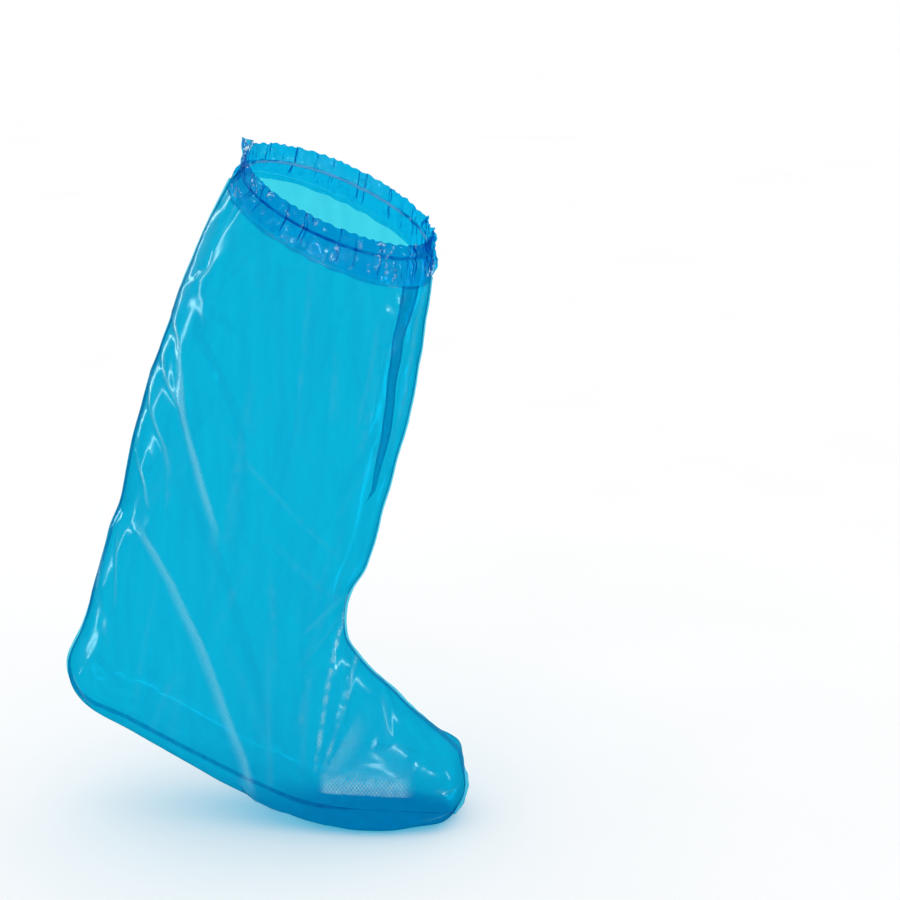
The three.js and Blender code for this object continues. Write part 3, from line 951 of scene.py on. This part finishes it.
@dataclass(eq=False)
class GatheredCuff(Piece):
    """The turned-in top edge, drawn into pleats by the elastic inside it.

    Sizes are in millimetres. Places and reaches are counted in rows of the table of sections, and the tips'
    widths are in radians. The tips are the film that stands up at the back and pokes out at the front. The
    flap is the hem's inner edge.
    """

    columns: int = 300
    outer_rows: int = 35
    inner_rows: int = 24
    film: float = 0.25
    hem_depth: float = 3.4
    flap_place: float = 2.1
    edge_place: float = 1.99
    flap_wave: float = 0.6
    pinch: float = 1.6
    deepest: float = 2.3
    ragged: float = 0.6
    crumple: float = 1.0
    tip_height: float = 9.0
    tip_width: float = 0.2
    tip_flare: float = 4.0
    # How pale the back tip is painted, on the painted sheen attribute.
    tip_paleness: float = 2.0
    front_tip: float = 4.0
    front_tip_width: float = 0.06
    front_tip_place: float = 1.45
    front_tip_reach: float = 0.15
    # How much of the painted glints the left half keeps.
    left_glints: float = 0.15
    pinch_reach: float = 0.13
    pinch_flattens: float = 0.4
    top_reach: float = 0.25

    # The way up along the shaft.
    AXIS = np.array([0.380, -0.162, 0.911])
    # The arc in radians that the hem's inside follows, from its fold to its flap.
    HEM_ARC = (0.35, 0.92 * math.pi)
    # Puckers fade out between these places, at the cuff's lower edge.
    PUCKER_PLACES = (1.75, 2.0)
    FACETS = FacetSizes(6, 6, 0.4, 51)
    RAGGED_WAVES = (57, 2, 9)
    FLAP_WAVES = (19, 3, 4)
    # How many waves the tip's flare would have all round, and where they start.
    FLARE_WAVES = (34, 0.8)

    def tips(self, turns: np.ndarray, heights: np.ndarray) -> tuple[np.ndarray, np.ndarray]:
        """Where the tips are.

        Args:
            turns: angles round the opening.
            heights: places along the cover, shaped like turns.

        Returns:
            The front tip and the back tip, from 0 to 1, shaped like turns.
        """
        front_turn = (turns - math.pi) / self.front_tip_width
        front_place = (heights - self.front_tip_place) / self.front_tip_reach
        front = np.exp(-(front_turn**2) - front_place**2)
        back_turn = np.minimum(turns, 2 * math.pi - turns)
        return front, np.exp(-heights / self.top_reach) * np.exp(-((back_turn / self.tip_width) ** 2))

    def puckered(
        self, rings: np.ndarray, share: np.ndarray, strength: np.ndarray
    ) -> tuple[np.ndarray, np.ndarray, np.ndarray]:
        """Lays the film of the rings in lapped pleats and crinkles.

        Args:
            rings: the smooth cuff's points, indexed by row and column.
            share: the columns' shares of the way round.
            strength: how far the pleats go at each point, from 0 to 1.

        Returns:
            The points after sliding, how far they are lifted in millimetres, and the painted glints.
        """
        loop = run_lengths(rings[0])[-1]
        run = run_lengths(rings[:, 0])
        puckers = Puckers(*np.broadcast_arrays(loop * share[None, :], run[:, None]))
        slide, layers = puckers.tucks(strength)
        crinkled, sheen_mask = puckers.crinkles()
        crinkled = crinkled + self.crumple * crumpled_facets(crinkled.shape, self.FACETS)
        grid = np.array([
            np.column_stack([np.interp(share + row / loop, share, axis, period=1) for axis in ring.T])
            for ring, row in zip(rings, slide)
        ])
        return grid, crinkled + layers, sheen_mask

    def build(self, form: CoverForm) -> bpy.types.Object:
        """Models the cuff.

        Args:
            form: the cover's smooth form.

        Returns:
            The cuff.
        """
        outer = np.linspace(self.edge_place, 0, self.outer_rows)
        places = np.concatenate([outer, np.linspace(0, self.flap_place, self.inner_rows)])
        inner = np.linspace(0, 1, self.inner_rows)
        folded_in = np.concatenate([np.zeros(self.outer_rows), inner])[:, None]
        arc_start, arc_end = self.HEM_ARC
        arc = arc_start + folded_in * (arc_end - arc_start)
        depth = np.where(folded_in > 0, self.hem_depth * np.sin(arc), 0)
        rings = np.array([form.ring(place, self.columns) for place in places])
        upward = np.linspace(CUFF_EDGE, 0, len(places))
        outward = grid_normals(np.array([form.ring(place, self.columns) for place in upward]), -1)
        share = np.linspace(0, 1, rings.shape[1])
        turns, heights = np.broadcast_arrays(2 * math.pi * share[None, :], places[:, None])
        above_edge = np.interp(heights, self.PUCKER_PLACES, (1, 0))
        grid, puckers, sheen_mask = self.puckered(rings, share, above_edge)
        front, tip = self.tips(turns, heights)
        at_elastic = np.exp(-(((heights - 1) / self.pinch_reach) ** 2))
        puckers = above_edge * (1 - self.pinch_flattens * at_elastic) * puckers
        lift = form.gathers.relief(turns, heights) + puckers
        lift = lift + self.front_tip * front - self.pinch * at_elastic
        lift = np.maximum(lift, -self.deepest) - depth
        flares, flare_start = self.FLARE_WAVES
        lift = lift + self.tip_flare * tip * np.sin(flares * turns + flare_start)
        ragged = np.exp(-heights / self.top_reach) * self.ragged * uneven_wave(turns, self.RAGGED_WAVES)
        rise = ragged + self.tip_height * tip
        rise = rise + folded_in * self.flap_wave * uneven_wave(turns, self.FLAP_WAVES)
        grid = grid + outward * lift[..., None] + self.AXIS * rise[..., None]
        grid[:, -1] = grid[:, 0]
        # Painted glints lie only on the outer wall, and fewer on the left half.
        sheen_mask = np.where(folded_in > 0, 0, sheen_mask) * np.where(turns < math.pi, 1, self.left_glints)
        return self.sheet(grid, self.film, np.maximum(sheen_mask, self.tip_paleness * tip), closed=True)


@dataclass(eq=False)
class ElasticBand(Piece):
    """The elastic loop inside the cuff, in millimetres; its half reach is in rows of the table."""

    columns: int = 180
    half_reach: float = 0.07
    rows: int = 4
    depth: float = 4.2
    thickness: float = 0.9
    uneven: float = 0.3
    uneven_size: tuple[float, float, float] = (9, 9, 9)
    uneven_seed: float = 2.2

    def build(self, form: CoverForm) -> bpy.types.Object:
        """Models the band.

        Args:
            form: the cover's smooth form.

        Returns:
            The band.
        """
        places = np.linspace(1 + self.half_reach, 1 - self.half_reach, self.rows + 1)
        grid = np.array([form.ring(place, self.columns) for place in places])
        turn = np.linspace(0, 2 * math.pi, grid.shape[1])[None, :]
        lift = form.gathers.relief(*np.broadcast_arrays(turn, places[:, None])) - self.depth
        lift = lift + self.uneven * crumple(grid, self.uneven_size, self.uneven_seed)
        grid = grid + grid_normals(grid, -1) * lift[..., None]
        grid[:, -1] = grid[:, 0]
        return self.sheet(grid, self.thickness, closed=True)


@dataclass(eq=False)
class HeatSeal(Piece):
    """The narrow fused margin of the two panels: down the back, along the sole, round the toe, up the front.

    Sizes are in millimetres. Its edge is ragged and waves from side to side, more so within the toe's reach.
    """

    steps: int = 420
    toe_steps: int = 40
    rows: int = 4
    inside: float = 0.8
    thickness: float = 0.4
    wave: float = 0.35
    toe_wave: float = 1.6
    toe_reach: float = 55.0
    ragged: float = 0.35
    least_ragged: float = 0.4

    # How often the edge wavers in a millimetre, and a seed for each of the pattern's other two ways.
    RAGGED_PATTERN = (0.13, 7.3, 0)
    WAVE_PATTERN = (0.09, 1.7, 4.1)

    def build(self, form: CoverForm) -> bpy.types.Object:
        """Models the seal.

        Args:
            form: the cover's smooth form.

        Returns:
            The seal.
        """
        sections = [form.at(place) for place in form.even_places(self.steps)]
        back, front = (
            np.array([form.middle(section, np.array([share]))[0] for section in sections])
            for share in (0.0, 1.0)
        )
        toe = form.middle(sections[-1], np.linspace(0, 1, self.toe_steps + 1))[1:-1]
        reach = np.array([section.seal for section in sections])
        edge = np.concatenate([back, toe, front[::-1]])
        reaches = np.concatenate([reach, np.full(len(toe), reach[-1]), reach[::-1]])
        along = np.gradient(edge, axis=0)
        along /= np.maximum(np.linalg.norm(along, axis=1, keepdims=True), 1e-9)
        out = np.column_stack([along[:, 1], -along[:, 0]])
        travel = run_lengths(edge)
        from_toe = travel - travel[len(back) + len(toe) // 2]
        toe_share = np.exp(-((from_toe / self.toe_reach) ** 2))
        ragged, wave = (
            np.array([noise.noise((often * run, *seeds)) for run in travel])
            for often, *seeds in (self.RAGGED_PATTERN, self.WAVE_PATTERN)
        )
        reaches = reaches * (1 + self.ragged * ragged * (self.least_ragged + toe_share))
        grid = []
        for row in np.linspace(0, 1, self.rows + 1):
            width = -self.inside + row * (self.inside + reaches)
            x, z = (edge + out * width[:, None]).T
            side = row * wave * (self.wave + self.toe_wave * toe_share)
            grid.append(np.column_stack([x, side, np.maximum(z, FLOOR_MM + self.thickness)]))
        return self.sheet(np.array(grid), self.thickness)


def linear(code: str) -> Colour:
    """A colour in linear light.

    Args:
        code: an sRGB colour as six hexadecimal digits.

    Returns:
        Red, green, blue and an alpha of 1.
    """
    shares = [int(code[start : start + 2], 16) / 255 for start in (0, 2, 4)]
    red, green, blue = (
        share / 12.92 if share <= 0.04045 else ((share + 0.055) / 1.055) ** 2.4 for share in shares
    )
    return red, green, blue, 1.0


def add_node(
    tree: bpy.types.NodeTree,
    kind: str,
    settings: dict[str | int, Any] | None = None,
    links: dict[str | int, bpy.types.Node | Socket] | None = None,
) -> bpy.types.Node:
    """Adds a shader node with its settings and links.

    Args:
        tree: the material's nodes.
        kind: the node's type, without the words ShaderNode.
        settings: values of its properties, or of its sockets by name or number.
        links: what feeds its sockets, by name or number: a socket, or a node for that node's first output.

    Returns:
        The node.
    """
    node = tree.nodes.new("ShaderNode" + kind)
    for key, value in (settings or {}).items():
        if isinstance(key, str) and hasattr(node, key):
            setattr(node, key, value)
        else:
            node.inputs[key].default_value = value
    for key, source in (links or {}).items():
        socket = source.outputs[0] if isinstance(source, bpy.types.Node) else source
        tree.links.new(socket, node.inputs[key])
    return node


def new_material(name: str) -> tuple[bpy.types.Material, AddNode, Socket]:
    """Starts a material.

    Args:
        name: its name.

    Returns:
        The material, what adds a node to it, and its Object coordinates.
    """
    made = bpy.data.materials.new(name)
    made.use_nodes = True
    made.node_tree.nodes.clear()
    node = partial(add_node, made.node_tree)
    return made, node, node("TexCoord").outputs["Object"]


class CreasePattern(Enum):
    """What the painted sheen on creases looks like close up."""

    HATCH = "fine crossed lines of the embossing"
    SQUIGGLE = "thin broken squiggles"


# Painted sheen and glints along creases, partly milky stress-whitening: a faintly blue white.
SHEEN_WHITE = linear("dcf4fb")
# The middle layer of a pleat, drawn so thin that it hardly tints what is seen through it.
THINNEST = linear("edfdfe")


@dataclass(frozen=True)
class FilmFinish:
    """Looks of a see-through blue film, in millimetres; the tints are what one face lets through."""

    name: str
    tint: Colour
    grazing_tint: Colour
    haze_colour: Colour
    haze: float
    gloss: float
    edge_gloss: float
    roughness: float
    emboss_pitch: float
    emboss_height: float
    crinkle_size: float
    crinkle_height: float
    streak_width: float
    streak: float
    crease_sheen: float
    crease_pattern: CreasePattern = CreasePattern.HATCH

    # How narrow the streaks are drawn along the shaft, the stretch of their pattern that shows, and how much
    # less and more of the tint and of the haze they give.
    STREAK_STRETCH = 0.07
    TINT_STRETCH = (0.3, 0.7)
    TINT_LOSS = -0.5
    HAZE_STRETCH = (0.35, 0.75)
    HAZE_SHARES = (0.4, 2.5)
    # How steeply the tint and the gloss grow as the film turns away.
    TINT_POWER = 2.0
    GLOSS_POWER = 5.0
    HATCH_SLANT = 0.66
    SQUIGGLE_SIZE = 6.0
    SQUIGGLE_WIDTH = 0.035
    # How much of a crease's painted sheen lies between its marks and on them.
    MARK_SHARES = {CreasePattern.HATCH: (0.65, 1.6), CreasePattern.SQUIGGLE: (0.1, 2.6)}
    # The share of the haze and painted sheen that lets light glow through.
    GLOW = 0.4

    def embossing(self, node: AddNode, place: Socket) -> bpy.types.Node:
        """Adds the embossed diamonds: two sets of fine lines across each other.

        Args:
            node: adds a node.
            place: the Object coordinates.

        Returns:
            Their height.
        """
        hatches = []
        for slant in (self.HATCH_SLANT, -self.HATCH_SLANT):
            turned = node("Mapping", {"Rotation": (0, slant, 0)}, {"Vector": place})
            lines = node("TexWave", {"Scale": WAVE_PITCH / (self.emboss_pitch * MM)}, {"Vector": turned})
            hatches.append(lines.outputs["Fac"])
        return node("Math", {"operation": "MULTIPLY"}, dict(enumerate(hatches)))

    def streaks(self, node: AddNode, place: Socket) -> Socket:
        """Adds the streaks that run down the drawn film.

        Args:
            node: adds a node.
            place: the Object coordinates.

        Returns:
            Their strength, from 0 to 1.
        """
        leaning = {"Rotation": (0, -math.atan(SHAFT_LEAN), 0), "Scale": (1, 1, self.STREAK_STRETCH)}
        drawn = node("Mapping", leaning, {"Vector": place})
        scale = 1 / (self.streak_width * MM)
        return node("TexNoise", {"Scale": scale, "Detail": 2.0}, {"Vector": drawn}).outputs["Fac"]

    def clear_film(self, node: AddNode, facing: Socket, streaks: Socket, creased: Socket) -> bpy.types.Node:
        """Adds the clear film, deeper where it turns away and in streaks, and faint inside a pleat.

        Args:
            node: adds a node.
            facing: how far the film turns away.
            streaks: the streaks' strength.
            creased: the painted sheen, below zero for thin film.

        Returns:
            Its shader.
        """
        turned_away = node("Math", {"operation": "POWER", 1: self.TINT_POWER}, {0: facing})
        uneven = node("MapRange", {
            "From Min": self.TINT_STRETCH[0],
            "From Max": self.TINT_STRETCH[1],
            "To Min": self.TINT_LOSS * self.streak,
            "To Max": self.streak,
        }, {"Value": streaks})
        deeper = node("Math", {"use_clamp": True}, {0: turned_away, 1: uneven})
        depth = node("Mix", {"data_type": "RGBA", 6: self.tint, 7: self.grazing_tint}, {0: deeper})
        thin = node("Math", {"operation": "MULTIPLY", 1: -1.0, "use_clamp": True}, {0: creased})
        drawn_thin = node("Mix", {"data_type": "RGBA", 7: THINNEST}, {0: thin, 6: depth.outputs[2]})
        return node("BsdfTransparent", {}, {"Color": drawn_thin.outputs[2]})

    def haze_and_sheen_share(
        self, node: AddNode, marks: bpy.types.Node, streaks: Socket, creased: Socket
    ) -> bpy.types.Node:
        """Adds how much of the film is milky: a haze in streaks, and the painted sheen of creases in marks.

        Args:
            node: adds a node.
            marks: where the creases' marks are.
            streaks: the streaks' strength.
            creased: the painted sheen.

        Returns:
            The share, from 0 to 1.
        """
        cloud = node("MapRange", {
            "From Min": self.HAZE_STRETCH[0],
            "From Max": self.HAZE_STRETCH[1],
            "To Min": self.HAZE_SHARES[0] * self.haze,
            "To Max": self.HAZE_SHARES[1] * self.haze,
        }, {"Value": streaks})
        between, on_marks = self.MARK_SHARES[self.crease_pattern]
        dots = node("MapRange", {
            "To Min": between * self.crease_sheen,
            "To Max": on_marks * self.crease_sheen,
        }, {"Value": marks})
        whole = {"operation": "MULTIPLY_ADD", "use_clamp": True}
        return node("Math", whole, {0: creased, 1: dots, 2: cloud})

    def material(self) -> bpy.types.Material:
        """Makes the film: blue to look through, deeper where it turns away, with a painted sheen in creases,
        and glints.

        Returns:
            The material.
        """
        made, node, place = new_material(self.name)
        crinkle = node("TexNoise", {"Scale": 1 / (self.crinkle_size * MM), "Detail": 1.0}, {"Vector": place})
        lumps = node("Bump", {"Strength": 1.0, "Distance": self.crinkle_height * MM},
                     {"Height": crinkle.outputs["Fac"]})
        diamonds = self.embossing(node, place)
        relief = node("Bump", {"Strength": 1.0, "Distance": self.emboss_height * MM},
                      {"Height": diamonds, "Normal": lumps})
        marks = diamonds
        # The squiggles mark where the painted glints fall.
        if self.crease_pattern is CreasePattern.SQUIGGLE:
            scale = 1 / (self.SQUIGGLE_SIZE * MM)
            wander = node("TexNoise", {"Scale": scale, "Detail": 1.0}, {"Vector": place})
            marks = node("Math", {"operation": "COMPARE", 1: 0.5, 2: self.SQUIGGLE_WIDTH},
                         {0: wander.outputs["Fac"]})
        facing = node("LayerWeight", {"Blend": 0.5}, {"Normal": lumps}).outputs["Facing"]
        streaks = self.streaks(node, place)
        creased = node("Attribute", {"attribute_name": SHEEN_ATTRIBUTE}).outputs["Fac"]
        through = self.clear_film(node, facing, streaks, creased)
        # The haze's colour, turning to a painted white sheen along creases.
        milk_and_sheen = node("Mix", {"data_type": "RGBA", 6: self.haze_colour, 7: SHEEN_WHITE}, {0: creased}).outputs[2]
        haze_and_sheen_surface = node("BsdfPrincipled", {"Roughness": self.roughness}, {"Base Color": milk_and_sheen, "Normal": relief})
        glow = node("BsdfTranslucent", {}, {"Color": milk_and_sheen})
        haze_and_sheen_shader = node("MixShader", {0: self.GLOW}, {1: haze_and_sheen_surface, 2: glow})
        share = self.haze_and_sheen_share(node, marks, streaks, creased)
        body = node("MixShader", {}, {0: share, 1: through, 2: haze_and_sheen_shader})
        shine = node("BsdfGlossy", {"Roughness": self.roughness}, {"Normal": relief})
        steep = node("Math", {"operation": "POWER", 1: self.GLOSS_POWER}, {0: facing})
        edge = node("MapRange", {"To Min": self.gloss, "To Max": self.edge_gloss}, {"Value": steep})
        surface = node("MixShader", {}, {0: edge, 1: body, 2: shine})
        node("OutputMaterial", {}, {"Surface": surface})
        return made


# Bare film: bright cyan to look through, deeper blue where it turns away, its embossing faint in the glints.
FILM = FilmFinish(
    name="polyethylene_film",
    tint=linear("86edf8"),
    grazing_tint=linear("7ceaf7"),
    haze_colour=linear("38b4dc"),
    haze=0.02,
    gloss=0.026,
    edge_gloss=0.2,
    roughness=0.13,
    emboss_pitch=2.4,
    emboss_height=0.008,
    crinkle_size=9.0,
    crinkle_height=0.05,
    streak_width=12.0,
    streak=0.3,
    crease_sheen=0.2,
)
# Fused margin: two films melted into one, milky along the seam.
FUSED_FILM = FilmFinish(
    name="fused_film",
    tint=linear("95ebf7"),
    grazing_tint=linear("86e7f6"),
    haze_colour=linear("8cccec"),
    haze=0.06,
    gloss=0.03,
    edge_gloss=0.2,
    roughness=0.15,
    emboss_pitch=1.6,
    emboss_height=0.02,
    crinkle_size=5.0,
    crinkle_height=0.08,
    streak_width=6.0,
    streak=0.3,
    crease_sheen=0.1,
)
# Gathered film: the same film in crowded layers, a deep blue with many small glints, partly painted as
# squiggles.
GATHERED_FILM = FilmFinish(
    name="gathered_film",
    tint=linear("81ecfa"),
    grazing_tint=linear("6fe7f8"),
    haze_colour=linear("109ce0"),
    haze=0.008,
    gloss=0.02,
    edge_gloss=0.1,
    roughness=0.07,
    emboss_pitch=2.4,
    emboss_height=0.004,
    crinkle_size=4.0,
    crinkle_height=0.004,
    streak_width=5.0,
    streak=0.4,
    crease_sheen=0.42,
    crease_pattern=CreasePattern.SQUIGGLE,
)


@dataclass(frozen=True)
class ElasticFinish:
    """Looks of the knitted elastic, its ribs in millimetres."""

    name: str
    colour: Colour
    painted_groove_shade: Colour
    rib_pitch: float
    rib_height: float
    rib_waver: float = 1.5
    roughness: float = 0.8

    def material(self) -> bpy.types.Material:
        """Makes the elastic: matt blue ribs, with painted shade between them.

        Returns:
            The material.
        """
        made, node, place = new_material(self.name)
        scale = WAVE_PITCH / (self.rib_pitch * MM)
        ribs = node("TexWave", {"bands_direction": "Z", "Scale": scale, "Distortion": self.rib_waver},
                    {"Vector": place}).outputs["Fac"]
        # Painted shade: a darker tone between the ribs.
        tone = node("Mix", {"data_type": "RGBA", 6: self.painted_groove_shade, 7: self.colour}, {0: ribs})
        bump = node("Bump", {"Strength": 1.0, "Distance": self.rib_height * MM}, {"Height": ribs})
        cloth = node("BsdfPrincipled", {"Roughness": self.roughness},
                     {"Base Color": tone.outputs[2], "Normal": bump})
        node("OutputMaterial", {}, {"Surface": cloth})
        return made


# Knitted elastic: dull, pale blue, finely ribbed.
ELASTIC = ElasticFinish(
    name="knitted_elastic", colour=linear("6cbce6"), painted_groove_shade=linear("4aa6dc"), rib_pitch=0.8, rib_height=0.15,
)


@dataclass(frozen=True)
class Softbox:
    """A lit panel: where it stands, its width and height in metres, and its power in watts."""

    place: tuple[float, float, float]
    width: float
    height: float
    power: float


SOFTBOXES: dict[str, Softbox] = {
    "left_strip": Softbox((-1.9, 0.1, 0.3), 0.08, 1.7, 8),
    "rear_left_strip": Softbox((-1.5, 1.1, 0.4), 0.12, 1.6, 7),
    "right_strip": Softbox((1.9, -0.2, 0.2), 0.08, 1.7, 9),
    "front_top_strip": Softbox((0.1, -2.0, 1.1), 1.2, 0.04, 5),
    "high_left_strip": Softbox((-0.6, -1.2, 1.5), 0.9, 0.03, 5),
    "high_right_strip": Softbox((0.8, -1.3, 1.3), 0.9, 0.03, 5),
}


@dataclass(frozen=True)
class Studio:
    """A pale floor, soft light and the camera, in metres; the lens is in millimetres."""

    eye: tuple[float, float, float] = (0.2748, -1.7370, 0.2353)
    aim: tuple[float, float, float] = (0.0923, 0.0, -0.2001)
    lens: float = 86.75
    floor_half: float = 60.0
    floor_level: float = FLOOR_MM * MM - 0.0004
    floor_mottle: float = 3.0
    sky_strength: float = 1.06
    film_layers: int = 48

    FLOOR_TONES = (linear("f6f6f6"), linear("fcfcfc"))

    def build(self) -> None:
        """Sets up the floor, the sky, the softboxes and the camera."""
        self.floor()
        self.sky()
        for name, softbox in SOFTBOXES.items():
            self.light(name, softbox)
        self.camera()

    def stand(self, name: str, data: bpy.types.ID, place: tuple[float, float, float]) -> bpy.types.Object:
        """Puts up a light or a camera that looks at the cover.

        Args:
            name: its name.
            data: the light or the camera.
            place: where it stands.

        Returns:
            The object.
        """
        stand = bpy.data.objects.new(name, data)
        stand.location = place
        stand.rotation_euler = (Vector(self.aim) - stand.location).to_track_quat("-Z", "Y").to_euler()
        bpy.context.scene.collection.objects.link(stand)
        return stand

    def floor(self) -> None:
        """Lays a plain, pale, matt floor with a faint mottle."""
        mesh = bpy.data.meshes.new("studio_floor")
        builder = bmesh.new()
        bmesh.ops.create_grid(builder, x_segments=1, y_segments=1, size=self.floor_half)
        bmesh.ops.translate(builder, verts=builder.verts, vec=(0, 0, self.floor_level))
        builder.to_mesh(mesh)
        builder.free()
        floor = bpy.data.objects.new("studio_floor", mesh)
        bpy.context.scene.collection.objects.link(floor)
        made, node, place = new_material("pale_floor")
        mottle = node("TexNoise", {"Scale": self.floor_mottle}, {"Vector": place}).outputs["Fac"]
        low, high = self.FLOOR_TONES
        tone = node("Mix", {"data_type": "RGBA", 6: low, 7: high}, {0: mottle})
        matt = node("BsdfDiffuse", {}, {"Color": tone.outputs[2]})
        node("OutputMaterial", {}, {"Surface": matt})
        mesh.materials.append(made)
        floor.visible_glossy = False

    def sky(self) -> None:
        """Fills the studio with even white light that leaves no glints."""
        world = bpy.data.worlds.new("studio")
        world.use_nodes = True
        background = world.node_tree.nodes["Background"]
        background.inputs["Color"].default_value = (1, 1, 1, 1)
        background.inputs["Strength"].default_value = self.sky_strength
        bpy.context.scene.world = world
        world.cycles_visibility.glossy = False

    def light(self, name: str, softbox: Softbox) -> None:
        """Sets up a softbox, which gives glints and no light on matt things.

        Args:
            name: the light's name.
            softbox: its place, size and power.
        """
        lamp = bpy.data.lights.new(name, "AREA")
        lamp.shape = "RECTANGLE"
        lamp.size = softbox.width
        lamp.size_y = softbox.height
        lamp.energy = softbox.power
        self.stand(name, lamp, softbox.place).visible_diffuse = False

    def camera(self) -> None:
        """Sets up the camera, the plain view transform and how many layers of film light passes."""
        camera = bpy.data.cameras.new("camera")
        camera.lens = self.lens
        scene = bpy.context.scene
        scene.camera = self.stand("camera", camera, self.eye)
        scene.view_settings.view_transform = "Standard"
        scene.cycles.transparent_max_bounces = self.film_layers


@dataclass(frozen=True)
class BootCover:
    """The whole cover: two film panels, their seal, the cuff and its elastic; flat sizes in metres."""

    panel_flat: tuple[float, float] = (0.42, 0.56)
    panel_area: float = 0.175
    cuff_flat: tuple[float, float] = (0.63, 0.05)

    def build(self) -> dict[str, bpy.types.Object]:
        """Models, finishes and declares every piece.

        Returns:
            The pieces, by the CAD nodes that they stand for.
        """
        form = CoverForm(SECTIONS, Gathers())
        film = FILM.material()
        pieces = (
            (FilmPanel("right_film", "right_panel", "film", Side.RIGHT, RIGHT_FOLDS, SHIN_PLEAT), film),
            (FilmPanel("left_film", "left_panel", "film", Side.LEFT, LEFT_FOLDS), film),
            (GatheredCuff("ruffled_hem", "gathered_cuff", "gathered_film"), GATHERED_FILM.material()),
            (ElasticBand("elastic_loop", "elastic_band", "elastic"), ELASTIC.material()),
            (HeatSeal("fused_margin", "heat_seal", "fused_film"), FUSED_FILM.material()),
        )
        bodies = {}
        for piece, material in pieces:
            bodies[piece.node] = piece.build(form)
            piece.declare(bodies[piece.node], material)
        return bodies


def main() -> None:
    """Builds the cover and its studio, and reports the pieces."""
    logging.basicConfig(level=logging.INFO)
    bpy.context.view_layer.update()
    for node, body in BootCover().build().items():
        LOG.info("%s stands for %s with %d points", body.name, node, len(body.data.vertices))
    Studio().build()


if __name__ == "__main__":
    main()
